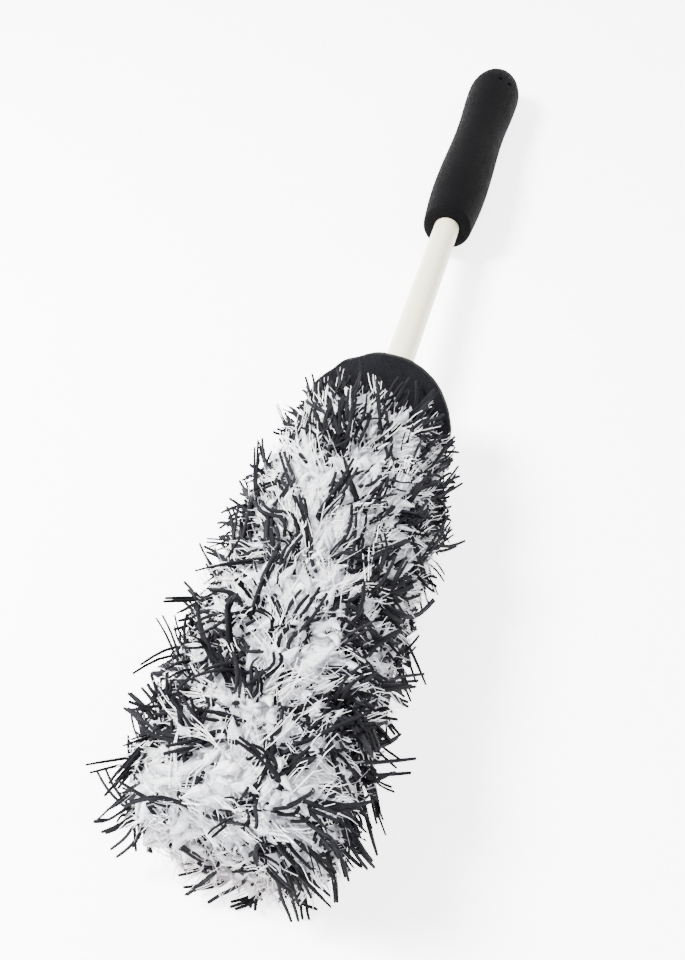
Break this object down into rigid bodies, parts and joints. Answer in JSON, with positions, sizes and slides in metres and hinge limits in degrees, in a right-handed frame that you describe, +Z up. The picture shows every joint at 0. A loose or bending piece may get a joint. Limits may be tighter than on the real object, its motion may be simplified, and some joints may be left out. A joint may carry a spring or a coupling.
{
  "type": "wheel brush",
  "caption": "Hand brush for car wheels: soft grip, straight plastic rod, leaning foam guard disc and a long cylindrical head in a removable pile cover.",
  "frame": {"origin": "on the table, under the middle of the brush's bounding box", "axes": "+Y towards the butt of the grip and -Y towards the tip of the head, +Z up; the rod slopes up by 2.6 degrees towards the tip, as the brush lies"},
  "size_m": [0.07, 0.4656, 0.0685],
  "materials": {
    "rod_plastic": "satin",
    "grip_rubber": "matte",
    "guard_foam": "matte",
    "core_foam": "matte",
    "cap_plastic": "satin",
    "backing_knit": "matte",
    "elastic_cord": "matte",
    "pile_white": "matte"
  },
  "bodies": {
    "handle": {"shaft_rod": "rod_plastic", "grip_sleeve": "grip_rubber", "foam_core": "core_foam", "tip_pad": "core_foam", "rod_end_cap": "cap_plastic"},
    "guard": {"guard_disc": "guard_foam"},
    "cover": {"cover_backing": "backing_knit", "cover_end_panel": "backing_knit", "cover_pile": "pile_white", "neck_hem": "backing_knit", "neck_elastic": "elastic_cord"}
  },
  "joints": [
    {"name": "cover_slide", "type": "slide", "parent": "handle", "child": "cover", "axis": [0, -0.9989, 0.0461], "range_m": [0, 0.16], "deforming": ["neck_hem", "neck_elastic"]},
    {"name": "guard_tip", "type": "hinge", "parent": "handle", "child": "guard", "pos_m": [0, -0.05691, 0.02602], "axis": [1, 0, 0], "range_deg": [0, 40]}
  ]
}
